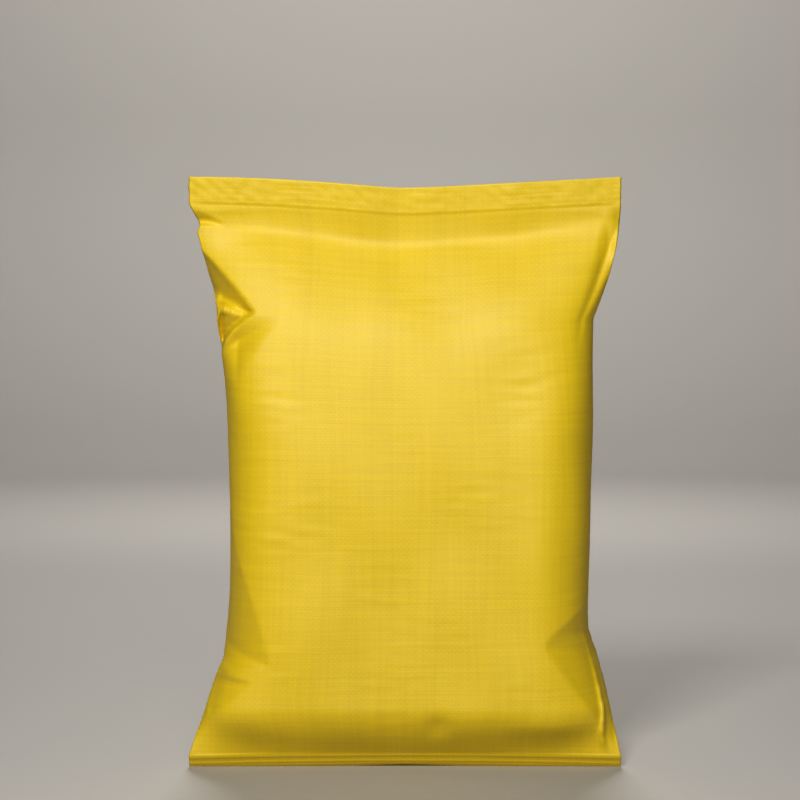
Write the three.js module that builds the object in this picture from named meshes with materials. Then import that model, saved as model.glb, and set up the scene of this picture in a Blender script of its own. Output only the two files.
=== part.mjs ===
// Filled woven polypropylene sack, standing on its base with both ends closed by a folded, sealed hem.
// The sack is one sealed solid. Millimetres, +Z up, +Y to the back, origin at the middle of the base.
import * as THREE from "three";

// Driving dimensions
const FLAT_WIDTH = 400; // lay-flat width of the woven tube, which both hems keep
const HEIGHT = 546; // floor to the top corners
const BODY_WIDTH = 342; // where the filling rounds the tube
const BODY_DEPTH = 116; // front to back at the fullest height
const BASE_DEPTH = 74; // from the bottom seam to the back of the base
const TOP_HEM = 24; // folded and sealed top edge
const BOTTOM_HEM = 11; // folded and sealed bottom edge
const HEM_THICKNESS = 3.2; // four layers of cloth and the seal
const CLOTH_PAIR = 1.6; // two layers lying together
const TOP_DIP = 10; // how far the middle of the top edge hangs below its corners
const BOTTOM_RISE = 3; // how far the middle of the bottom hem is lifted off the floor
const HEM_LEAN = 3; // how far the top edge leans forward
const SHOULDER = 322; // height over which the filling thins out below the top hem
const NECK = 8; // height below the top hem where the panels hang together right out to the corners
const NECK_BACK = 20; // how far the filling holds back from the top hem in the middle
const NECK_RETURN = 125; // height below the top hem over which it comes forward again
const NECK_ROUND = 4; // rounding where the hanging cloth meets the filling
const TUCK = 49; // height over which the front curls in to the bottom hem
const FOOT_BACK = 8; // how far the foot of the bottom hem is turned under
const HEEL = 64; // height over which the back rounds up from the base
const HEM_KEEP = 16; // height beside a hem over which the folds die out
const BASE_EDGE = 6; // margin between the flat of the base and the outline around it

// Each side flares from the body back to the flat width over its own heights and draws in by its own waist.
// waistAt and waistReach place the waist as shares of the height, bow rounds the top
// flare (0 straight, 1 round), sag hollows the top edge (1 straight, 2 hollow).
const LEFT = {
  sign: -1, topFlare: 92, bottomFlare: 88, bow: 0, sag: 2,
  waist: 13, waistAt: 0.43, waistReach: 0.27,
};
const RIGHT = {
  sign: 1, topFlare: 106, bottomFlare: 114, bow: 1, sag: 1,
  waist: 4, waistAt: 0.3, waistReach: 0.21,
};

// How the cloth curves
const SEAM_FORWARD = 0.39; // share of the base that lies in front of the sack's middle
const SHOULDER_BEND = 3.1; // how soon the filling rounds out below the neck
const HANG = 0.22; // slope of the cloth that hangs under the top hem
const TUCK_BEND = 1.7; // how soon the front rounds out above the bottom hem
const HEEL_BEND = 2.4; // how soon the back rounds out above the base
const LENS = { squareness: 2.1, roundness: 1.1 }; // section beside the hems, pointed at the side creases
const BODY = { squareness: 8, roundness: 1.6 }; // section through the filling
const FLAT = { squareness: 24 }; // straight run of a hem
const ROUND_OPENING = 0.74; // opening at which the section has become a body section
const SAG_ROUND = 0.12; // share of the half width over which the sag rounds off in the middle
const EVEN = 1; // how the walls of a fold bend, from even slopes to walls that ease in at their edges
const SOFT = 1.5;
const BLUNT = 0.75; // below 1 a fold opens more quickly at its tip

const crease = FLAT_WIDTH / 2; // from the middle of a panel to its side crease, along the cloth
const topSeam = HEIGHT - TOP_HEM; // height where the top hem starts
const baseFront = -(BASE_DEPTH - HEM_THICKNESS) * SEAM_FORWARD; // where the bottom seam stands
const baseBack = baseFront + BASE_DEPTH;
const underTop = (drop) => topSeam - drop;
const overBottom = (rise) => BOTTOM_HEM + rise;

// Tuck in the left edge under the top hem
const NOTCH = { side: LEFT, height: underTop(20.5), depth: 5, up: 19, down: 10 };

// Pinched folds where the flat corners turn into the round body. A fold starts at a point on a panel (tip),
// opens into a V towards the side crease, is deepest at (deepest) and dies out at (end). Those three are
// millimetres of cloth before the crease, and below 0 they lie round it on the other panel. The valley climbs
// by tilt towards the crease, and its walls are up and down high.
const FRONT = { inwards: 1 };
const BACK = { inwards: -1 };
const foldOf = (panel, side, from, shape) => ({ panel, side, ...from, ...shape });
const PINCHES = [
  foldOf(FRONT, LEFT, { tip: 54, deepest: 0, end: -44 },
    { height: underTop(98), tilt: 0.1, up: 52, down: 40, depth: 22, crisp: EVEN }),
  foldOf(FRONT, LEFT, { tip: 80, deepest: 40, end: -5 },
    { height: underTop(105), tilt: -0.55, up: 25, down: 40, depth: 14, crisp: SOFT }),
  foldOf(FRONT, LEFT, { tip: 76, deepest: 2, end: -44 },
    { height: overBottom(87), tilt: 0.3, up: 150, down: 34, depth: 22, crisp: EVEN }),
  foldOf(FRONT, RIGHT, { tip: 42, deepest: 4, end: -22 },
    { height: underTop(144), tilt: 3, up: 70, down: 36, depth: 9, crisp: SOFT }),
  foldOf(FRONT, RIGHT, { tip: 76, deepest: 2, end: -44 },
    { height: overBottom(105), tilt: -0.2, up: 60, down: 80, depth: 22, crisp: EVEN }),
  foldOf(BACK, LEFT, { tip: 70, deepest: 24, end: -2 },
    { height: underTop(122), tilt: 0.8, up: 34, down: 60, depth: 14, crisp: EVEN }),
  foldOf(BACK, LEFT, { tip: 82, deepest: 22, end: -4 },
    { height: overBottom(117), tilt: -0.3, up: 80, down: 60, depth: 12, crisp: EVEN }),
  foldOf(BACK, RIGHT, { tip: 60, deepest: 20, end: -2 },
    { height: underTop(86), tilt: 0.4, up: 30, down: 50, depth: 16, crisp: EVEN }),
  foldOf(BACK, RIGHT, { tip: 76, deepest: 20, end: -4 },
    { height: overBottom(95), tilt: 0.2, up: 90, down: 36, depth: 13, crisp: EVEN }),
];

// Surface sampling
const SIDE_STEPS = 20; // from the middle of a panel to the side crease
const CROWDING = 0.55; // how much closer the points stand at the side crease
const BODY_STEPS = 50; // rows between the two hems
const CURVE_STEPS = 200; // points that measure a section before it is divided
const LEDGE = 0.8; // height of the step where a hem ends

const clamp01 = (t) => Math.min(1, Math.max(0, t));
const smooth = (t) => clamp01(t) ** 2 * (3 - 2 * clamp01(t));
const mix = (a, b, t) => a + (b - a) * t;

const inHem = (h) => h <= BOTTOM_HEM || h >= topSeam;

// Place of a column between the middle of a panel, 0, and the side crease, 1.
function share(step) {
  const t = step / SIDE_STEPS;
  return t + CROWDING * t * (1 - t);
}

// How far the filling has opened the sack below the top hem: 0 at the neck, 1 from SHOULDER down.
function opened(h) {
  const down = clamp01((topSeam - NECK - h) / (SHOULDER - NECK));
  return 1 - (1 - down) ** SHOULDER_BEND;
}

// How round the section is at a height: 0 lens-shaped beside the hems, 1 across the body.
const fullness = (h) => smooth(opened(h) / ROUND_OPENING) * smooth((h - BOTTOM_HEM) / TUCK);

function notchDepth(side, h) {
  if (side !== NOTCH.side) return 0;
  const away = h - NOTCH.height;
  return NOTCH.depth * clamp01(1 - (away > 0 ? away / NOTCH.up : -away / NOTCH.down));
}

// Half width of one side: flat width at the hems, drawn in to the body between the flares.
function halfWidth(side, h) {
  const flare = clamp01((h - topSeam + side.topFlare) / side.topFlare);
  const up = mix(flare, Math.sin((Math.PI / 2) * flare), side.bow);
  const down = clamp01((BOTTOM_HEM + side.bottomFlare - h) / side.bottomFlare);
  const off = (h / topSeam - side.waistAt) / side.waistReach;
  const body = BODY_WIDTH / 2 - side.waist * Math.exp(-off * off) * (1 - up) * (1 - down);
  return mix(body, crease, Math.max(up, down)) - notchDepth(side, h);
}

// Share of the sag of the top edge at a distance from the middle: 1 in the middle, 0 at the corner.
function sag(side, x) {
  const t = Math.hypot(x / crease, SAG_ROUND) - SAG_ROUND;
  return clamp01(1 - t / (Math.hypot(1, SAG_ROUND) - SAG_ROUND)) ** side.sag;
}

// How far the cloth falls back from the filling's bulge to hang from the top hem. middle is 1 in the middle
// of the panel and 0 at the corner.
function hang(h, middle, bulge) {
  const below = topSeam - h;
  if (below <= 0) return 0;
  const room = NECK_BACK * middle * (1 - smooth(below / NECK_RETURN));
  const fall = bulge + HANG * below;
  return Math.max(0, (fall + room - Math.hypot(fall - room, NECK_ROUND)) / 2);
}

// Front, side crease and back of the sack at a height, on its middle line.
function profile(h) {
  const half = BODY_DEPTH / 2;
  const top = opened(h);
  const tuck = 1 - (1 - clamp01((h - BOTTOM_HEM) / TUCK)) ** TUCK_BEND;
  const heel = 1 - (1 - clamp01(h / HEEL)) ** HEEL_BEND;
  const side = mix(baseFront, 0, smooth((h - BOTTOM_HEM) / (LEFT.bottomFlare + BOTTOM_HEM)));
  const foot = FOOT_BACK * clamp01(1 - h / BOTTOM_HEM);
  const wall = (inHem(h) ? HEM_THICKNESS : CLOTH_PAIR) / 2;
  return {
    side: side + foot,
    front: Math.min(mix(baseFront, -half, tuck) * top, side) - wall + foot,
    back: Math.max(mix(baseBack, half, heel) * top, side + foot) + wall,
  };
}

// A quarter of a section from the middle of a panel (x 0, y depth) to the side crease (x width, y 0),
// as a superellipse divided by length.
function quarter(width, depth, squareness, roundness) {
  const curve = [];
  const along = [0];
  for (let k = 0; k <= CURVE_STEPS; k++) {
    const angle = ((Math.PI / 2) * k) / CURVE_STEPS;
    const x = width * Math.sin(angle) ** (2 / squareness);
    const y = depth * Math.max(0, Math.cos(angle)) ** (2 / roundness);
    curve.push([x, k === CURVE_STEPS ? 0 : y]);
    if (k > 0) along.push(along[k - 1] + Math.hypot(x - curve[k - 1][0], curve[k][1] - curve[k - 1][1]));
  }
  const total = along[CURVE_STEPS];
  const points = [];
  let k = 1;
  for (let step = 0; step <= SIDE_STEPS; step++) {
    const wanted = total * share(step);
    while (k < CURVE_STEPS && along[k] < wanted) k++;
    const t = (wanted - along[k - 1]) / (along[k] - along[k - 1] || 1);
    points.push([mix(curve[k - 1][0], curve[k][0], t), mix(curve[k - 1][1], curve[k][1], t)]);
  }
  return points;
}

// How deep a fold presses the cloth in, at a distance before the side crease and a height.
function pinchDepth(fold, before, h) {
  const opening = (fold.tip - before) / (fold.tip - fold.deepest);
  const closing = (before - fold.end) / (fold.deepest - fold.end);
  const reach = clamp01(Math.min(opening, closing));
  if (reach === 0) return 0;
  const away = h - fold.height - fold.tilt * (fold.tip - before);
  const spread = (away > 0 ? fold.up : fold.down) * reach ** BLUNT;
  return fold.depth * (reach * clamp01(1 - Math.abs(away) / spread)) ** fold.crisp;
}

// How far all the folds move a point towards the back.
function pressed(panel, side, step, h) {
  const toCrease = crease * (1 - share(step));
  const keep = smooth((topSeam - h) / HEM_KEEP) * smooth((h - BOTTOM_HEM) / HEM_KEEP);
  let moved = 0;
  for (const fold of PINCHES) {
    if (fold.side !== side) continue;
    moved += fold.panel.inwards * keep * pinchDepth(fold, fold.panel === panel ? toCrease : -toCrease, h);
  }
  return moved;
}

// Keeps the front panel in front of the back one where they lie together.
function keepApart(front, back) {
  for (let step = 0; step < SIDE_STEPS; step++) {
    const middle = (front[step].y + back[step].y) / 2;
    const gap = Math.max(back[step].y - front[step].y, CLOTH_PAIR) / 2;
    front[step].y = middle - gap;
    back[step].y = middle + gap;
  }
}

// One closed ring of points at a height, from the left crease across the front to the right crease and back.
function ring(h) {
  const at = profile(h);
  const full = fullness(h);
  const squareness = mix(LENS.squareness, BODY.squareness, full);
  const roundness = mix(LENS.roundness, BODY.roundness, full);
  const dip = TOP_DIP * smooth((h - topSeam + SHOULDER) / SHOULDER);
  const rise = BOTTOM_RISE * (1 - smooth((h - BOTTOM_HEM) / TUCK));
  const lean = -HEM_LEAN * clamp01((h - topSeam) / TOP_HEM);

  const quarterOf = (side, panel) => {
    const isFront = panel === FRONT;
    const isFlat = inHem(h) && (isFront || h > BOTTOM_HEM);
    const depth = isFront ? at.side - at.front : at.back - at.side;
    const points = quarter(halfWidth(side, h), depth, isFlat ? FLAT.squareness : squareness, roundness);
    return points.map(([x, out], step) => {
      const middle = 1 - (x / crease) ** 2;
      const fall = hang(h, middle, out - CLOTH_PAIR / 2);
      const y = at.side + lean + fall - panel.inwards * out + pressed(panel, side, step, h);
      const z = h - dip * sag(side, x) + (isFront ? rise * middle : 0);
      return new THREE.Vector3(side.sign * x, y, z);
    });
  };

  const [frontLeft, backLeft] = [quarterOf(LEFT, FRONT), quarterOf(LEFT, BACK)];
  const [frontRight, backRight] = [quarterOf(RIGHT, FRONT), quarterOf(RIGHT, BACK)];
  keepApart(frontLeft, backLeft);
  keepApart(frontRight, backRight);
  return [
    ...frontLeft.reverse(),
    ...frontRight.slice(1),
    ...backRight.reverse().slice(1),
    ...backLeft.slice(1, -1),
  ];
}

// The flat of the base: the lowest ring drawn in by BASE_EDGE and laid on the floor.
function baseRing(lowest) {
  const middle = new THREE.Vector3(0, baseFront + BASE_DEPTH / 2, 0);
  return lowest.map((p) => {
    const inwards = middle.clone().sub(p).setZ(0);
    const pull = Math.min(BASE_EDGE, inwards.length() / 2);
    return p.clone().add(inwards.setLength(pull)).setZ(0);
  });
}

// Heights of the rings: each hem, the ledge beside it and even rows over the body.
function ringHeights() {
  const heights = [0, BOTTOM_HEM];
  const low = BOTTOM_HEM + LEDGE;
  const high = topSeam - LEDGE;
  for (let k = 0; k <= BODY_STEPS; k++) heights.push(mix(low, high, k / BODY_STEPS));
  heights.push(topSeam, HEIGHT - TOP_HEM / 2, HEIGHT);
  return heights;
}

// Closed skin through the rings, with a flat ladder of faces across each end.
function sackGeometry() {
  const rings = ringHeights().map(ring);
  rings.unshift(baseRing(rings[0]));
  const around = rings[0].length;
  const across = around / 2;
  const index = [];
  for (let j = 0; j + 1 < rings.length; j++) {
    for (let i = 0; i < around; i++) {
      const next = (i + 1) % around;
      const [a, b, c, d] = [j * around + i, j * around + next, (j + 1) * around + next, (j + 1) * around + i];
      index.push(a, b, c, a, c, d);
    }
  }
  const ladder = (row, up) => {
    const first = row * around;
    for (let i = 0; i < across; i++) {
      const [a, b] = [first + i, first + i + 1];
      const [c, d] = [first + ((around - i - 1) % around), first + ((around - i) % around)];
      const faces = up ? [a, b, c, a, c, d] : [a, c, b, a, d, c];
      for (let k = 0; k < 6; k += 3) {
        const face = faces.slice(k, k + 3);
        if (new Set(face).size === 3) index.push(...face);
      }
    }
  };
  ladder(0, false);
  ladder(rings.length - 1, true);

  const geometry = new THREE.BufferGeometry();
  geometry.setFromPoints(rings.flat());
  geometry.setIndex(index);
  geometry.computeVertexNormals();
  return geometry;
}

const wovenPolypropylene = new THREE.MeshStandardMaterial({ color: 0xe2c032, roughness: 0.5, metalness: 0 });

const sack = new THREE.Mesh(sackGeometry(), wovenPolypropylene);
sack.name = "woven_sack";

const group = new THREE.Group();
group.add(sack);

export default group;
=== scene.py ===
"""Looks of a filled woven polypropylene sack, with pinched corners, folded hems and a weave of flat tapes.

Everything is in metres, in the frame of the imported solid: +Z up, +Y to the back, the base on z = 0.
"""
import math

import bpy
import numpy as np
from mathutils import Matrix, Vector


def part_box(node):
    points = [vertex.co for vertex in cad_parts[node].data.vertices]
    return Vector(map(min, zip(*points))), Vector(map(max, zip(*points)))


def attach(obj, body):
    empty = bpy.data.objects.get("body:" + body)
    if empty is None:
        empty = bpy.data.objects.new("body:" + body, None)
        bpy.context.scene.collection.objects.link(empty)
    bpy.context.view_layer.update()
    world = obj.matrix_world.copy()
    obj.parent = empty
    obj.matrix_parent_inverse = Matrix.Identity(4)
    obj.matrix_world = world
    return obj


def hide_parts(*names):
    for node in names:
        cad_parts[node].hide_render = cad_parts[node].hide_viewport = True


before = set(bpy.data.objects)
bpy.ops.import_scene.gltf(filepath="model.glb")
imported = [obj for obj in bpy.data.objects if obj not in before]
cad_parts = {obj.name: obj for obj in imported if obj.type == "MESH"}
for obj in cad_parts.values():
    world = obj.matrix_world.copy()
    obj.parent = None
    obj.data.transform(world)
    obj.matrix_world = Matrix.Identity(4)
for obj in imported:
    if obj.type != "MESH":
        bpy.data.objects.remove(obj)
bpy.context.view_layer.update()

# Sizes of the sack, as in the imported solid
NODE = "woven_sack"
LOW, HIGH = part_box(NODE)
CLOTH_PAIR = 0.0016  # two layers lying together beside a hem
FLAT_WIDTH = HIGH.x - LOW.x  # lay-flat width of the tube, which both hems keep
HEIGHT = HIGH.z - LOW.z
BODY_DEPTH = HIGH.y - LOW.y - CLOTH_PAIR
BODY_WIDTH = 0.342  # of the filled body
BASE_DEPTH = 0.074  # from the bottom hem to the foot of the back
TOP_HEM = 0.024
BOTTOM_HEM = 0.011
HEM_THICKNESS = 0.0032
SEAM_STEP = 0.0001  # how far the bottom hem stands out from the cloth above it
TOP_DIP = 0.010  # how far the middle of the top edge hangs below its corners
BOTTOM_RISE = 0.003  # how far the middle of the bottom hem is lifted off the floor
SHOULDER = 0.322  # height over which the filling thins out below the top hem
NECK = 0.008  # height below the top hem where the panels hang together right out to the corners
TUCK = 0.049  # height over which the front curls in to the bottom hem
HEEL = 0.064  # height over which the back rounds up from the base
BASE_EDGE = 0.006  # margin between the flat of the base and the outline around it
TOP_SEAM = HEIGHT - TOP_HEM
SEAM_FORWARD = 0.39  # share of the base that lies in front of the sack's middle
HEM_LEAN = 0.003  # how far the top edge leans forward
NECK_BACK = 0.020  # how far the filling holds back from the top hem in the middle
NECK_RETURN = 0.125  # height below the top hem over which it comes forward again
NECK_ROUND = 0.004  # rounding where the hanging cloth meets the filling
HANG = 0.22  # slope of the cloth that hangs under the top hem
HEM_FADE = 0.050  # height below the top hem over which its waves die out
HEM_WAVES = ((0.0012, 0.150, 0.4), (0.0007, 0.067, 2.1))  # waves of the top hem: height, length, start
FOOT_BACK = 0.008  # how far the foot of the bottom hem is turned under
BASE_FRONT = -(BASE_DEPTH - HEM_THICKNESS) * SEAM_FORWARD

# Each side: sign, heights of the top and bottom flares, waist with its place and its reach as shares of the
# height, bow of the top flare (0 straight, 1 round) and sag of the top edge (1 straight, 2 hollow)
LEFT = dict(
    sign=-1, top_flare=0.092, bottom_flare=0.088, bow=0.0, sag=2.0,
    waist=0.013, waist_at=0.43, waist_reach=0.27,
)
RIGHT = dict(
    sign=1, top_flare=0.106, bottom_flare=0.114, bow=1.0, sag=1.0,
    waist=0.004, waist_at=0.30, waist_reach=0.21,
)

# Tuck in the left edge under the hem: its height and depth, and how far it reaches up and down
NOTCH = dict(side=-1, height=0.5015, depth=0.0045, up=0.019, down=0.007)

SAG_ROUND = 0.12  # share of the half width over which the sag rounds off in the middle
PULL_IN = 0.004  # how far the side creases draw in as the cloth settles

# How the cloth curves
SHOULDER_BEND = 3.1  # how soon the filling opens the sack below the top hem: 1 evenly, more sooner
TUCK_BEND = 1.7  # the same for the front above the bottom hem
HEEL_BEND = 2.4  # the same for the back above the base
LENS = (2.1, 1.1)  # squareness and roundness of the section beside the hems
BODY = (8.0, 1.6)  # the same through the filling
FLAT_SQUARENESS = 24  # of the section in the hems
ROUND_OPENING = 0.74  # share of the opening at which the section is as round as through the filling

# Sampling of the cloth
SIDE_STEPS = 72  # from the middle of a panel to the side crease
BODY_STEPS = 268
HEM_STEPS = 16
CURVE_STEPS = 400
LEDGE = 0.0008  # height between a hem and the first row of the body
CREASE_CROWDING = 0.55  # how much closer the columns stand at the side creases
TINY = 1e-9  # least divisor


def clamp01(t):
    return np.clip(t, 0.0, 1.0)


def smooth(t):
    t = clamp01(t)
    return t * t * (3 - 2 * t)


def mix(a, b, t):
    return a + (b - a) * t


# Form of the filled sack


def opened(h):
    """How far the filling has opened the sack below the top hem: 0 at the neck, 1 from SHOULDER down."""
    down = clamp01((TOP_SEAM - NECK - h) / (SHOULDER - NECK))
    return 1 - (1 - down) ** SHOULDER_BEND


def fullness(h):
    """How round the section is: 0 lens-shaped beside the hems, 1 across the body."""
    return smooth(opened(h) / ROUND_OPENING) * smooth((h - BOTTOM_HEM) / TUCK)


def in_hem(h):
    return h <= BOTTOM_HEM or h >= TOP_SEAM


def half_width(side, h):
    up = clamp01((h - TOP_SEAM + side["top_flare"]) / side["top_flare"])
    up = mix(up, math.sin(math.pi / 2 * up), side["bow"])
    down = clamp01((BOTTOM_HEM + side["bottom_flare"] - h) / side["bottom_flare"])
    off = (h / TOP_SEAM - side["waist_at"]) / side["waist_reach"]
    waist = side["waist"] * math.exp(-off * off) * (1 - up) * (1 - down)
    body = BODY_WIDTH / 2 + PULL_IN - waist
    return mix(body, FLAT_WIDTH / 2, max(up, down)) - notch_depth(side, h)


def notch_depth(side, h):
    if side["sign"] != NOTCH["side"]:
        return 0.0
    away = h - NOTCH["height"]
    reach = NOTCH["up"] if away > 0 else -NOTCH["down"]
    return NOTCH["depth"] * clamp01(1 - away / reach)


def lean(h, x):
    """How far the top hem leans forward in waves."""
    below = TOP_SEAM - h
    wave = sum(height * np.sin(2 * math.pi * x / length + start) for height, length, start in HEM_WAVES)
    return wave * smooth(1 - below / HEM_FADE) - HEM_LEAN * clamp01(-below / TOP_HEM)


def hang(h, x, bulge):
    """How far the cloth falls back from the filling's bulge to hang from the top hem."""
    below = TOP_SEAM - h
    if below <= 0:
        return 0.0
    room = NECK_BACK * (1 - (x / (FLAT_WIDTH / 2)) ** 2) * (1 - smooth(below / NECK_RETURN))
    fall = bulge + HANG * below
    return np.maximum(0, (fall + room - np.hypot(fall - room, NECK_ROUND)) / 2)


def sag(side, x):
    """Share of the sag of the top edge at a distance from the middle: 1 in the middle, 0 at the corner."""
    t = np.hypot(x / (FLAT_WIDTH / 2), SAG_ROUND) - SAG_ROUND
    return clamp01(1 - t / (math.hypot(1, SAG_ROUND) - SAG_ROUND)) ** side["sag"]


def profile(h):
    """Depths of the front, the side crease and the back at a height, on the middle line."""
    half = BODY_DEPTH / 2
    top = opened(h)
    tuck = 1 - (1 - clamp01((h - BOTTOM_HEM) / TUCK)) ** TUCK_BEND
    heel = 1 - (1 - clamp01(h / HEEL)) ** HEEL_BEND
    settled = smooth((h - BOTTOM_HEM) / (LEFT["bottom_flare"] + BOTTOM_HEM))
    side = mix(BASE_FRONT, 0.0, settled)
    wall = (HEM_THICKNESS if h >= TOP_SEAM else CLOTH_PAIR) / 2 + (SEAM_STEP if h <= BOTTOM_HEM else 0)
    foot = FOOT_BACK * clamp01(1 - h / BOTTOM_HEM)
    front = min(mix(BASE_FRONT, -half, tuck) * top, side) - wall + foot
    side += foot
    back = max(mix(BASE_FRONT + BASE_DEPTH, half, heel) * top, side) + wall
    return front, side, back


def quarter(width, depth, squareness, roundness, shares):
    """Superellipse from the middle of a panel to its side crease, sampled at shares of its length."""
    angle = np.linspace(0, math.pi / 2, CURVE_STEPS)
    x = width * np.sin(angle) ** (2 / squareness)
    y = depth * np.maximum(np.cos(angle), 0) ** (2 / roundness)
    y[-1] = 0
    along = np.concatenate([[0], np.cumsum(np.hypot(np.diff(x), np.diff(y)))])
    wanted = shares * along[-1]
    return np.interp(wanted, along, x), np.interp(wanted, along, y)


def column_shares():
    """Places from the middle of a panel, 0, to its side crease, 1, closer together at the crease."""
    t = np.linspace(0, 1, SIDE_STEPS + 1)
    return t + CREASE_CROWDING * t * (1 - t)


def ring(h, shares):
    """Closed ring of points at a height: left crease, front, right crease, back."""
    front, side_y, back = profile(h)
    full = float(fullness(h))
    soft_squareness = mix(LENS[0], BODY[0], full)
    roundness = mix(LENS[1], BODY[1], full)
    dip = TOP_DIP * smooth((h - TOP_SEAM + SHOULDER) / SHOULDER)
    rise = BOTTOM_RISE * (1 - smooth((h - BOTTOM_HEM) / TUCK))

    def half(side, is_front):
        flat = in_hem(h) and (is_front or h > BOTTOM_HEM)
        depth = side_y - front if is_front else back - side_y
        squareness = FLAT_SQUARENESS if flat else soft_squareness
        x, y = quarter(half_width(side, h), depth, squareness, roundness, shares)
        lift = rise * (1 - (x / (FLAT_WIDTH / 2)) ** 2) if is_front else 0
        z = h + lift - dip * sag(side, x)
        fall = hang(h, x, y - CLOTH_PAIR / 2)
        y = side_y + lean(h, side["sign"] * x) + fall + (-y if is_front else y)
        return np.stack([side["sign"] * x, y, z], axis=1)

    front_left = half(LEFT, True)[::-1]
    front_right = half(RIGHT, True)[1:]
    back_right = half(RIGHT, False)[::-1][1:]
    back_left = half(LEFT, False)[1:-1]
    return np.concatenate([front_left, front_right, back_right, back_left])


def row_heights():
    low = np.linspace(0, BOTTOM_HEM, HEM_STEPS + 1)
    body = np.linspace(BOTTOM_HEM + LEDGE, TOP_SEAM - LEDGE, BODY_STEPS + 1)
    high = np.linspace(TOP_SEAM, HEIGHT, HEM_STEPS + 1)
    return np.concatenate([low, body, high])


def cloth_grid():
    """Points of the cloth as rows of closed rings, with their heights and their place round the tube."""
    shares = column_shares()
    heights = row_heights()
    points = np.array([ring(h, shares) for h in heights])
    half = shares * FLAT_WIDTH / 2
    front = np.concatenate([FLAT_WIDTH / 2 - half[::-1], FLAT_WIDTH / 2 + half[1:]])
    back = FLAT_WIDTH + front[1:-1]
    return points, heights, np.concatenate([front, back])


def outward(points):
    """Unit normals of the grid, pointing out of the sack."""
    around = np.roll(points, -1, axis=1) - np.roll(points, 1, axis=1)
    up = np.gradient(points, axis=0)
    normal = np.cross(around, up)
    return normal / np.maximum(np.linalg.norm(normal, axis=2, keepdims=True), TINY)


def side_distance(around, panel, side):
    """Metres of cloth from the middle of a panel towards one side, running on round the other panel."""
    across = (around - FLAT_WIDTH * panel) * side
    return (across + FLAT_WIDTH / 2) % (2 * FLAT_WIDTH) - FLAT_WIDTH / 2


def keep_apart(points):
    """Keeps the front panel in front of the back one where they lie together."""
    half = points.shape[1] // 2
    front = points[:, 1:half, 1]
    back = points[:, :half:-1, 1]
    middle = (front + back) / 2
    gap = np.maximum(back - front, CLOTH_PAIR) / 2
    points[:, 1:half, 1] = middle - gap
    points[:, :half:-1, 1] = middle + gap
    return points


# Pinched folds. Each starts at a point on a panel, opens into a V towards the side crease and dies out at or
# behind it. The reach gives where it starts, is deepest and ends, in metres of cloth from the panel's middle.
# Heights are metres off the floor, and a negative depth makes a ridge.
FRONT, BACK = 0.5, 1.5  # middles of the panels, in lay-flat widths round the tube from the left crease
KEEN, SHARP, SOFT = 0.65, 0.8, 1.5  # below 1 the cloth bends more sharply at a fold's edge than in its depth
BLUNT = 0.75  # below 1 a fold opens more quickly at its tip
HEM_KEEP = 0.016  # height beside a hem over which the folds die out


def fold(panel, side, reach, height, tilt, up, down, depth, crisp=SHARP):
    tip, deepest, end = reach
    return dict(
        panel=panel, side=side, tip=tip, deepest=deepest, end=end,
        height=height, tilt=tilt, up=up, down=down, depth=depth, crisp=crisp,
    )


PINCHES = [
    # Upper left: a small tuck under the hem, and a V whose lower wall is folded once more
    fold(FRONT, -1, reach=(0.176, 0.200, 0.230), height=0.502, tilt=0.1, up=0.014, down=0.003, depth=0.010),
    fold(FRONT, -1, reach=(0.146, 0.200, 0.240), height=0.419, tilt=0.45, up=0.034, down=0.013, depth=0.026,
         crisp=KEEN),
    fold(FRONT, -1, reach=(0.146, 0.186, 0.222), height=0.424, tilt=-0.7, up=0.027, down=0.006, depth=0.024,
         crisp=KEEN),
    fold(FRONT, -1, reach=(0.120, 0.160, 0.205), height=0.417, tilt=-0.55, up=0.025, down=0.040, depth=0.014,
         crisp=SOFT),
    # Lower left
    fold(FRONT, -1, reach=(0.124, 0.198, 0.240), height=0.098, tilt=0.3, up=0.140, down=0.024, depth=0.019),
    fold(FRONT, -1, reach=(0.138, 0.180, 0.220), height=0.082, tilt=-0.06, up=0.010, down=0.030, depth=0.010),
    # Upper right
    fold(FRONT, 1, reach=(0.158, 0.196, 0.222), height=0.378, tilt=3.0, up=0.070, down=0.038, depth=0.008,
         crisp=SOFT),
    # Lower right: a wedge, and a ridge that runs to the corner
    fold(FRONT, 1, reach=(0.124, 0.198, 0.240), height=0.116, tilt=-0.2, up=0.060, down=0.080, depth=0.022),
    fold(FRONT, 1, reach=(0.166, 0.180, 0.200), height=0.160, tilt=-7.0, up=0.045, down=0.040, depth=-0.007,
         crisp=SOFT),
    # Back
    fold(BACK, -1, reach=(0.130, 0.176, 0.202), height=0.400, tilt=0.8, up=0.034, down=0.060, depth=0.014),
    fold(BACK, -1, reach=(0.118, 0.178, 0.204), height=0.128, tilt=-0.3, up=0.080, down=0.060, depth=0.012),
    fold(BACK, 1, reach=(0.140, 0.180, 0.202), height=0.436, tilt=0.4, up=0.030, down=0.050, depth=0.016),
    fold(BACK, 1, reach=(0.124, 0.180, 0.204), height=0.106, tilt=0.2, up=0.090, down=0.036, depth=0.013),
]


def pinch_depth(pinch, across, height):
    """How deep a fold presses the cloth in at each point."""
    before = (across - pinch["tip"]) / (pinch["deepest"] - pinch["tip"])
    after = (pinch["end"] - across) / (pinch["end"] - pinch["deepest"])
    reach = clamp01(np.minimum(before, after))
    valley = pinch["height"] + pinch["tilt"] * (across - pinch["tip"])
    away = height - valley
    spread = np.where(away > 0, pinch["up"], pinch["down"]) * np.maximum(reach, TINY) ** BLUNT
    return pinch["depth"] * (reach * clamp01(1 - np.abs(away) / spread)) ** pinch["crisp"]


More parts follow.
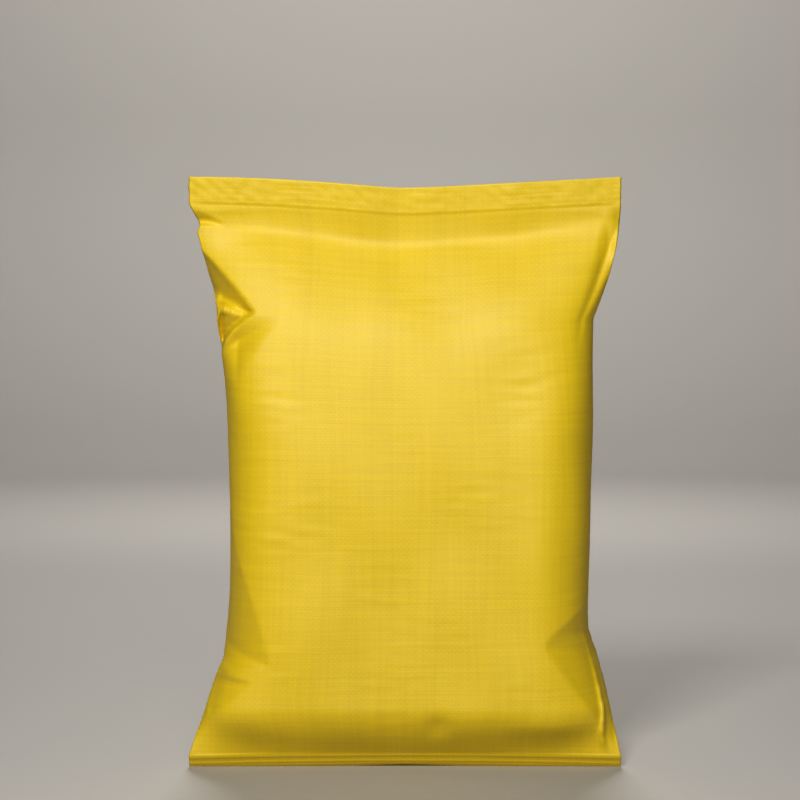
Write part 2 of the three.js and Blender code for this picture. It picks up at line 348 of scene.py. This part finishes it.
def press_folds(points, heights, around):
    """Pushes the pinched folds into the cloth, from the front or from the back."""
    row = heights[:, None]
    keep = smooth((TOP_SEAM - row) / HEM_KEEP) * smooth((row - BOTTOM_HEM) / HEM_KEEP)
    pressed = points.copy()
    for pinch in PINCHES:
        across = side_distance(around, pinch["panel"], pinch["side"])[None, :]
        inwards = 1 if pinch["panel"] == FRONT else -1
        pressed[:, :, 1] += inwards * keep * pinch_depth(pinch, across, row)
    return keep_apart(pressed)


# Unevenness of the filling and of the cloth

LUMP = 0.0009  # height of the filling's unevenness
LUMP_SEED = 3
LUMP_WAVES = 9  # most waves of it round the tube
LUMP_LENGTH = 0.11  # shortest wave of it up the sack
CRINKLE = 0.0002  # height of the fine crinkles
CRINKLE_SEED = 8
CRINKLE_WAVES = 16
CRINKLE_LENGTH = 0.011
PATCH = 0.4  # strength of the patches of crinkles all over the body
PATCH_SEED = 5
MOTTLE = 0.0002  # height of the unevenness of the top hem
MOTTLE_SEED = 13
MOTTLE_WAVES = 60
MOTTLE_LENGTH = 0.009
HEM_LINES = (0.0035, 0.0080, 0.0125, 0.0180)  # ridges of the folded layers, below the top edge
HEM_RIDGE = 0.0003  # height of those ridges
HEM_RIDGE_WIDTH = 0.0011
HEM_STRAY = 0.0008  # how far they stray
STRAY_SEED = 11
RIDGE_LEVEL = 0.5  # their strength
RIDGE_SWING = 0.6  # how much it varies along the hem
RIDGE_SEED = 12
FOOT_LINES = (0.0030, 0.0088)  # straight ridges in the bottom hem, above its lower edge
FOOT_RIDGE = 0.0004
WAVE_COUNT = 28  # waves summed for each kind of unevenness

# Soft swells and hollows of the filling, and crinkled places, placed as the folds are
SOFT_SPOTS = [
    dict(panel=FRONT, side=1, across=0.122, height=0.20, wide=0.018, tall=0.10, rise=0.0024),
    dict(panel=FRONT, side=1, across=0.105, height=0.352, wide=0.030, tall=0.030, rise=-0.0020),
    dict(panel=FRONT, side=-1, across=0.120, height=0.350, wide=0.035, tall=0.030, rise=-0.0018),
    dict(panel=FRONT, side=1, across=0.030, height=0.038, wide=0.010, tall=0.013, rise=-0.0046),
    dict(panel=FRONT, side=1, across=0.135, height=0.040, wide=0.035, tall=0.014, rise=0.0040),
    dict(panel=BACK, side=1, across=0.060, height=0.300, wide=0.050, tall=0.060, rise=-0.0020),
    dict(panel=BACK, side=-1, across=0.090, height=0.220, wide=0.040, tall=0.080, rise=0.0016),
]
CRINKLED = [
    dict(panel=FRONT, side=1, across=0.108, height=0.350, wide=0.030, tall=0.040, rise=1.0),
    dict(panel=FRONT, side=-1, across=0.125, height=0.345, wide=0.032, tall=0.030, rise=1.0),
    dict(panel=FRONT, side=-1, across=0.130, height=0.200, wide=0.030, tall=0.060, rise=0.6),
    dict(panel=BACK, side=1, across=0.070, height=0.310, wide=0.060, tall=0.050, rise=1.0),
    dict(panel=BACK, side=-1, across=0.120, height=0.360, wide=0.040, tall=0.040, rise=0.8),
]


def swells(heights, around, seed, waves, length):
    """Random waves over the cloth that meet up round the tube, with a spread of about 1."""
    random = np.random.default_rng(seed)
    total = np.zeros((len(heights), len(around)))
    for _ in range(WAVE_COUNT):
        turns = random.integers(-waves, waves + 1) * around / (2 * FLAT_WIDTH)
        climb = random.uniform(-1, 1) * heights / length
        total += np.cos(2 * math.pi * (turns[None, :] + climb[:, None] + random.uniform()))
    return total * math.sqrt(2 / WAVE_COUNT)


def body_share(heights):
    """1 over the filled body, fading to 0 at both hems."""
    return smooth((heights - BOTTOM_HEM) / TUCK) * smooth((TOP_SEAM - heights) / HEM_FADE)


def spots(places, heights, around):
    """Sum of soft round spots over the cloth."""
    total = np.zeros((len(heights), len(around)))
    for place in places:
        across = side_distance(around, place["panel"], place["side"])[None, :]
        total += place["rise"] * np.exp(
            -((across - place["across"]) / place["wide"]) ** 2
            - ((heights[:, None] - place["height"]) / place["tall"]) ** 2
        )
    return total


def add_lumps(points, heights, around):
    lumps = LUMP * swells(heights, around, LUMP_SEED, LUMP_WAVES, LUMP_LENGTH)
    lumps = lumps + spots(SOFT_SPOTS, heights, around)
    return points + outward(points) * (lumps * body_share(heights)[:, None])[:, :, None]


def add_relief(points, heights, around):
    """Fine crinkles in patches of the body, and the uneven folded layers of both hems."""
    patches = PATCH * smooth(swells(heights, around, PATCH_SEED, LUMP_WAVES, LUMP_LENGTH))
    patches = patches + spots(CRINKLED, heights, around)
    crinkles = CRINKLE * swells(heights, around, CRINKLE_SEED, CRINKLE_WAVES, CRINKLE_LENGTH) * patches
    relief = crinkles * body_share(heights)[:, None]
    stray = HEM_STRAY * swells(heights[-1:], around, STRAY_SEED, LUMP_WAVES, LUMP_LENGTH)
    swing = RIDGE_SWING * swells(heights, around, RIDGE_SEED, CRINKLE_WAVES, LUMP_LENGTH)
    strength = smooth(RIDGE_LEVEL + swing)
    hem = MOTTLE * swells(heights, around, MOTTLE_SEED, MOTTLE_WAVES, MOTTLE_LENGTH)
    for line in HEM_LINES:
        off = (HEIGHT - heights[:, None] - line - stray) / HEM_RIDGE_WIDTH
        hem += HEM_RIDGE * strength * np.exp(-off * off)
    relief += hem * smooth((heights - TOP_SEAM) / LEDGE)[:, None]
    for line in FOOT_LINES:
        off = (heights[:, None] - line) / HEM_RIDGE_WIDTH
        relief += FOOT_RIDGE * np.exp(-off * off)
    return points + outward(points) * relief[:, :, None]


# Mesh


def sack_mesh(points, heights, around):
    """Closed mesh of the cloth grid, with a flat base, a cap along the top hem and its cloth coordinates."""
    rows, columns, _ = points.shape
    middle = np.array([0, BASE_FRONT + BASE_DEPTH / 2, 0])
    inwards = (middle - points[0]) * [1, 1, 0]
    length = np.linalg.norm(inwards, axis=1, keepdims=True)
    base = points[0] + inwards / length * np.minimum(BASE_EDGE, length / 2)
    base[:, 2] = 0
    vertices = np.concatenate([base[None], points]).reshape(-1, 3)
    along = np.concatenate([[-BASE_EDGE], heights])
    faces = []
    uvs = []
    wrap = np.concatenate([around, [2 * FLAT_WIDTH]])
    for j in range(rows):
        for i in range(columns):
            k = (i + 1) % columns
            faces.append([j * columns + i, j * columns + k, (j + 1) * columns + k, (j + 1) * columns + i])
            near, far = wrap[i], wrap[i + 1]
            low, high = along[j], along[j + 1]
            uvs += [(near, low), (far, low), (far, high), (near, high)]
    for row, up in ((0, False), (rows, True)):
        first = row * columns
        for i in range(columns // 2):
            opposite = [first + (columns - i - 1) % columns, first + (columns - i) % columns]
            face = list(dict.fromkeys([first + i, first + i + 1] + opposite))
            face = face if up else face[::-1]
            faces.append(face)
            uvs += [(vertices[v][0], vertices[v][1]) for v in face]
    mesh = bpy.data.meshes.new("sack_cloth")
    mesh.from_pydata(vertices.tolist(), [], faces)
    layer = mesh.uv_layers.new(name="cloth")
    layer.data.foreach_set("uv", np.array(uvs, dtype=np.float32).ravel())
    mesh.shade_smooth()
    mesh.update()
    return mesh


# Cloth

STRETCH = 1.0  # how fully a step restores the length of the tapes
SHEAR = 0.35  # the same for the diagonals, along which a weave gives
BEND = 0.02  # how strongly the cloth resists sharp bends
STEP = 0.35  # share of the summed corrections taken at each step
CARRY = 0.88  # share of the last move carried on
FIRM = 0.08  # pull of the filling on the cloth that lies tight on it
LOOSE = 0.004  # the same in the slack corners
SPARE = 0.02  # spare length of the cloth in the slack corners
COARSE_ROUNDS = 900  # steps on every other point of the grid
FINE_ROUNDS = 250  # steps on every point

# Slack corners: metres of cloth from the middle of the front, height, and how far each way the slack reaches
SLACK = [
    dict(panel=FRONT, side=-1, across=0.185, across_reach=0.075, height=0.425, height_reach=0.085),
    dict(panel=FRONT, side=1, across=0.190, across_reach=0.075, height=0.430, height_reach=0.095),
    dict(panel=FRONT, side=-1, across=0.185, across_reach=0.075, height=0.080, height_reach=0.080),
    dict(panel=FRONT, side=1, across=0.185, across_reach=0.075, height=0.095, height_reach=0.090),
]


def slack_share(heights, around):
    share = np.zeros((len(heights), len(around)))
    for place in SLACK:
        across = side_distance(around, place["panel"], place["side"])[None, :]
        far = np.hypot((across - place["across"]) / place["across_reach"],
                       (heights[:, None] - place["height"]) / place["height_reach"])
        share = np.maximum(share, smooth(1 - far))
    return share


def lengths(d):
    return np.sqrt(np.einsum("ijk,ijk->ij", d, d)) + TINY


def spans(points):
    """Vectors along the tapes, up the tapes and along both diagonals of every cell."""
    beside = np.roll(points, -1, axis=1)
    up = points[1:] - points[:-1]
    rising = beside[1:] - points[:-1]
    falling = points[1:] - beside[:-1]
    return beside - points, up, rising, falling


def relax(points, form, rest, hold, rounds):
    """Moves the cloth towards its tapes' rest lengths, while the filling pulls it towards its form."""
    normal = outward(form)
    last = points.copy()
    fixed = hold >= 1
    pull = np.where(fixed, 0, hold)[:, :, None]
    for _ in range(rounds):
        move = np.zeros_like(points)
        along, up, rising, falling = spans(points)
        part = along * (STRETCH / 2 * (1 - rest[0] / lengths(along)))[:, :, None]
        move += part - np.roll(part, 1, axis=1)
        part = up * (STRETCH / 2 * (1 - rest[1] / lengths(up)))[:, :, None]
        move[:-1] += part
        move[1:] -= part
        part = rising * (SHEAR / 2 * (1 - rest[2] / lengths(rising)))[:, :, None]
        move[:-1] += part
        move[1:] -= np.roll(part, 1, axis=1)
        part = falling * (SHEAR / 2 * (1 - rest[3] / lengths(falling)))[:, :, None]
        move[:-1] += np.roll(part, 1, axis=1)
        move[1:] -= part
        bow = np.roll(points, -1, axis=1) + np.roll(points, 1, axis=1) - 2 * points
        bow[1:-1] += points[2:] + points[:-2] - 2 * points[1:-1]
        bend = np.roll(bow, -1, axis=1) + np.roll(bow, 1, axis=1) - 2 * bow
        bend[1:-1] += bow[2:] + bow[:-2] - 2 * bow[1:-1]
        gap = np.einsum("ijk,ijk->ij", form - points, normal)[:, :, None]
        new = points + STEP * (move - BEND * bend) + pull * gap * normal + CARRY * (points - last)
        new[fixed] = form[fixed]
        new[:, :, 2] = np.maximum(new[:, :, 2], 0)
        last, points = points, new
    return keep_apart(points)


def finer(points):
    """Doubles the grid, with each new point on the cubic through the four nearest in its row or column."""
    rows, columns, _ = points.shape
    wide = np.empty((rows, 2 * columns, 3))
    wide[:, ::2] = points
    behind = np.roll(points, 1, axis=1)
    ahead = np.roll(points, -1, axis=1)
    far = np.roll(points, -2, axis=1)
    wide[:, 1::2] = (9 * (points + ahead) - behind - far) / 16
    tall = np.empty((2 * rows - 1, 2 * columns, 3))
    tall[::2] = wide
    tall[1::2] = (wide[1:] + wide[:-1]) / 2
    tall[3:-3:2] = (9 * (wide[1:-2] + wide[2:-1]) - wide[:-3] - wide[3:]) / 16
    return tall


def settle(form, heights, around):
    """Cloth that hangs between its hems and buckles in the slack corners, worked out on two grids."""
    slack = slack_share(heights, around)
    hold = mix(FIRM, LOOSE, slack)
    hold[(heights <= BOTTOM_HEM + LEDGE) | (heights >= TOP_SEAM - LEDGE)] = 1
    spare = 1 + SPARE * slack
    points = form[::2, ::2]
    for skip, rounds in ((2, COARSE_ROUNDS), (1, FINE_ROUNDS)):
        shape = form[::skip, ::skip]
        room = spare[::skip, ::skip]
        along, up, rising, falling = (lengths(d) for d in spans(shape))
        rest = along, up * room[:-1], rising * room[:-1], falling * room[:-1]
        if skip == 1:
            points = finer(points)
        points = relax(points, shape, rest, hold[::skip, ::skip], rounds)
    return points


# Material

TAPE = 0.0025  # width of a flat tape of the weave
TAPE_STRAY = 0.0016  # how far a tape strays from its straight course
TAPE_WAVES = 30.0  # waves of that straying in a metre
CLOTH_COLOUR = (0.695, 0.497, 0.004, 1)
WEFT_SHADE = 0.18  # how much the tapes across the sack differ in lightness
WARP_SHADE = 0.14  # the same for the tapes up the sack
BAND_SHADE = 0.14  # the same for bands of upright tapes
FACE_SHEEN = 0.03  # painted sheen: how much lighter an upright tape is painted where it lies on top, standing in for its sheen
ACROSS_TAPES = 0.7 / TAPE  # waves of the noise in a metre, across the tapes
ALONG_TAPES = 9.0  # the same along a tape
BAND_WAVES = (26.0, 2.0)  # the same across and along the bands
PATCH_WAVES = 18.0  # the same for the patches where the weave stands out
CROSSING_POWER = 0.4  # below 1 a tape is flat where it lies on top and drops at its edges
WEFT_BUMP = 1.4  # height of the tapes' own noise, in units of a crossing's
WARP_BUMP = 0.8
BUMP_STRENGTH = 0.6
BUMP_HEIGHT = 0.00016  # metres
ROUGHNESS = 0.51
ROUGHNESS_SWING = 0.12
GLOSS = 0.7  # specular level of the tape
SLICES = dict(u=0.0, v=3.0, weft=0.0, warp=5.0, bands=11.0, patch=17.0)  # place of each noise in depth


def node(tree, kind, **inputs):
    """Adds a node and sets or links its inputs, named by socket, or in_0, in_1 and so on by number."""
    made = tree.nodes.new(kind)
    for name, value in inputs.items():
        numbered = name.startswith("in_")
        socket = made.inputs[int(name.removeprefix("in_")) if numbered else name.replace("_", " ")]
        if isinstance(value, bpy.types.NodeSocket):
            tree.links.new(value, socket)
        else:
            socket.default_value = value
    return made


def math_node(tree, operation, *values):
    made = node(tree, "ShaderNodeMath", **{f"in_{k}": v for k, v in enumerate(values)})
    made.operation = operation
    return made.outputs[0]


def streaks(tree, across, along, across_scale, along_scale, offset):
    """Noise drawn out along one direction of the cloth, 0 to 1."""
    place = node(
        tree, "ShaderNodeCombineXYZ",
        X=math_node(tree, "MULTIPLY", across, across_scale),
        Y=math_node(tree, "MULTIPLY", along, along_scale),
        Z=offset,
    )
    noise = node(tree, "ShaderNodeTexNoise", Vector=place.outputs[0], Scale=1.0, Detail=2.0, Roughness=0.5)
    return noise.outputs["Fac"]


def wander(tree, u, v, offset):
    """How far a tape strays from its straight course, in metres."""
    place = streaks(tree, u, v, TAPE_WAVES, TAPE_WAVES, offset)
    return math_node(tree, "MULTIPLY_ADD", place, 2 * TAPE_STRAY, -TAPE_STRAY)


def woven_cloth():
    """Satin yellow polypropylene tape in a plain weave."""
    material = bpy.data.materials.new("woven_cloth")
    material.use_nodes = True
    tree = material.node_tree
    tree.nodes.clear()
    place = node(tree, "ShaderNodeUVMap")
    place.uv_map = "cloth"
    split = node(tree, "ShaderNodeSeparateXYZ", Vector=place.outputs[0])
    u, v = split.outputs["X"], split.outputs["Y"]
    u = math_node(tree, "ADD", u, wander(tree, u, v, SLICES["u"]))
    v = math_node(tree, "ADD", v, wander(tree, u, v, SLICES["v"]))
    turn = math.pi / TAPE
    wave_u = math_node(tree, "SINE", math_node(tree, "MULTIPLY", u, turn))
    wave_v = math_node(tree, "SINE", math_node(tree, "MULTIPLY", v, turn))
    crossing = math_node(tree, "MULTIPLY", wave_u, wave_v)
    warp_on_top = math_node(tree, "GREATER_THAN", crossing, 0.0)
    dome = math_node(tree, "POWER", math_node(tree, "ABSOLUTE", crossing), CROSSING_POWER)
    weft = streaks(tree, u, v, ALONG_TAPES, ACROSS_TAPES, SLICES["weft"])
    warp = streaks(tree, u, v, ACROSS_TAPES, ALONG_TAPES, SLICES["warp"])
    bands = streaks(tree, u, v, *BAND_WAVES, SLICES["bands"])

    def swing(value, amount):
        return math_node(tree, "MULTIPLY_ADD", value, amount, -amount / 2)

    tone_and_sheen = math_node(tree, "ADD", swing(weft, WEFT_SHADE), swing(warp, WARP_SHADE))
    tone_and_sheen = math_node(tree, "ADD", tone_and_sheen, swing(bands, BAND_SHADE))
    # painted sheen: upright tapes are painted lighter where they lie on top; the noises above are the tapes'
    # own random tone
    tone_and_sheen = math_node(tree, "ADD", tone_and_sheen, swing(warp_on_top, FACE_SHEEN))
    light = math_node(tree, "ADD", tone_and_sheen, 1.0)
    colour = node(tree, "ShaderNodeHueSaturation", Value=light, Color=CLOTH_COLOUR)
    patch = streaks(tree, u, v, PATCH_WAVES, PATCH_WAVES, SLICES["patch"])
    crossings = math_node(tree, "MULTIPLY", dome, patch)
    height = math_node(tree, "ADD", crossings, math_node(tree, "MULTIPLY", weft, WEFT_BUMP))
    height = math_node(tree, "ADD", height, math_node(tree, "MULTIPLY", warp, WARP_BUMP))
    bump = node(tree, "ShaderNodeBump", Strength=BUMP_STRENGTH, Distance=BUMP_HEIGHT, Height=height)
    roughness = math_node(tree, "MULTIPLY_ADD", weft, ROUGHNESS_SWING, ROUGHNESS)
    shader = node(
        tree, "ShaderNodeBsdfPrincipled",
        Base_Color=colour.outputs[0], Roughness=roughness, Normal=bump.outputs[0], Specular_IOR_Level=GLOSS,
    )
    output = node(tree, "ShaderNodeOutputMaterial")
    tree.links.new(shader.outputs[0], output.inputs["Surface"])
    return material


def plain_material(name, colour, roughness):
    material = bpy.data.materials.new(name)
    material.use_nodes = True
    shader = material.node_tree.nodes["Principled BSDF"]
    shader.inputs["Base Color"].default_value = colour
    shader.inputs["Roughness"].default_value = roughness
    return material


# Stage, light and camera

WARM = (1.0, 0.98, 0.95)
WORLD_STRENGTH = 0.02
MIDDLE = (0, 0, 0.3)  # where the lights on the sack point
WALL = (0, 4.2, 0.7)  # where the light on the wall behind it points
LIGHTS = [
    dict(name="key", place=(-0.48, -1.9, 1.80), target=MIDDLE, size=0.5, power=38),
    dict(name="front", place=(0.14, -2.6, 0.90), target=MIDDLE, size=0.7, power=18),
    dict(name="backdrop", place=(0, 2.0, 2.4), target=WALL, size=1.2, power=26, spread=math.radians(120)),
    dict(name="back", place=(0, 2.2, 2.0), target=MIDDLE, size=1.0, power=38),
]
FLOOR_COLOUR = (0.40, 0.385, 0.365, 1)
FLOOR_ROUGHNESS = 0.7
STAGE_RADIUS = 3.4  # of the flat floor
SWEEP = 0.8  # radius of the curve from the floor to the wall
STAGE_HEIGHT = 4.2
STAGE_STEPS = 96
SWEEP_STEPS = 16

# Camera, matched to the photograph's 800 pixel frame
PIXELS = 800
PIXEL = 0.000924  # metres for one pixel at the sack
MIDDLE_COLUMN = 405  # column of the sack's middle
FLOOR_ROW = 768  # row of the bottom corners
CAMERA_DISTANCE = 2.6
CAMERA_ELEVATION = math.radians(3)
SENSOR = 36.0  # width in millimetres
CLIP_END = 50


def add_object(name, data):
    made = bpy.data.objects.new(name, data)
    bpy.context.scene.collection.objects.link(made)
    return made


def add_stage():
    """Round pale floor that sweeps up into a wall all the way round."""
    turns = np.linspace(0, math.pi / 2, SWEEP_STEPS + 1)
    line = [(STAGE_RADIUS + SWEEP * math.sin(t), SWEEP * (1 - math.cos(t))) for t in turns]
    line.append((STAGE_RADIUS + SWEEP, STAGE_HEIGHT))
    angles = np.linspace(0, 2 * math.pi, STAGE_STEPS, endpoint=False)
    vertices = [(r * math.cos(a), r * math.sin(a), z) for r, z in line for a in angles]
    faces = [tuple(range(STAGE_STEPS))]
    for row in range(len(line) - 1):
        for k in range(STAGE_STEPS):
            a = row * STAGE_STEPS + k
            b = row * STAGE_STEPS + (k + 1) % STAGE_STEPS
            faces.append((a, a + STAGE_STEPS, b + STAGE_STEPS, b))
    mesh = bpy.data.meshes.new("floor")
    mesh.from_pydata(vertices, [], faces)
    mesh.shade_smooth()
    floor = add_object("floor", mesh)
    mesh.materials.append(plain_material("pale_floor", FLOOR_COLOUR, FLOOR_ROUGHNESS))


def aim(thing, place, target):
    thing.location = place
    thing.rotation_euler = (Vector(target) - Vector(place)).to_track_quat("-Z", "Y").to_euler()


def add_light(name, place, target, size, power, spread=math.pi):
    data = bpy.data.lights.new(name, "AREA")
    data.size = size
    data.spread = spread
    data.energy = power
    data.color = WARM
    aim(add_object(name, data), place, target)


def add_world(colour, strength):
    world = bpy.data.worlds.new("studio")
    world.use_nodes = True
    background = world.node_tree.nodes["Background"]
    background.inputs["Color"].default_value = colour
    background.inputs["Strength"].default_value = strength
    bpy.context.scene.world = world


def add_camera():
    data = bpy.data.cameras.new("camera")
    data.sensor_width = SENSOR
    data.lens = SENSOR * CAMERA_DISTANCE / (PIXELS * PIXEL)
    data.clip_end = CLIP_END
    camera = add_object("camera", data)
    right = (PIXELS / 2 - MIDDLE_COLUMN) * PIXEL
    up = (FLOOR_ROW - PIXELS / 2) * PIXEL
    target = Vector((right, BASE_FRONT / 2, up))
    back_off = Vector((0, -math.cos(CAMERA_ELEVATION), math.sin(CAMERA_ELEVATION)))
    aim(camera, target + back_off * CAMERA_DISTANCE, target)
    bpy.context.scene.camera = camera


def build_sack():
    points, heights, around = cloth_grid()
    points = add_lumps(points, heights, around)
    points = press_folds(points, heights, around)
    points = settle(points, heights, around)
    points = add_relief(points, heights, around)
    sack = add_object("sack_cloth", sack_mesh(points, heights, around))
    sack.data.materials.append(woven_cloth())
    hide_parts(NODE)
    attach(sack, "root")


build_sack()
add_stage()
add_world((*WARM, 1), WORLD_STRENGTH)
for lamp in LIGHTS:
    add_light(**lamp)
add_camera()
bpy.context.scene.view_settings.view_transform = "Standard"
bpy.context.scene.view_settings.look = "Medium High Contrast"
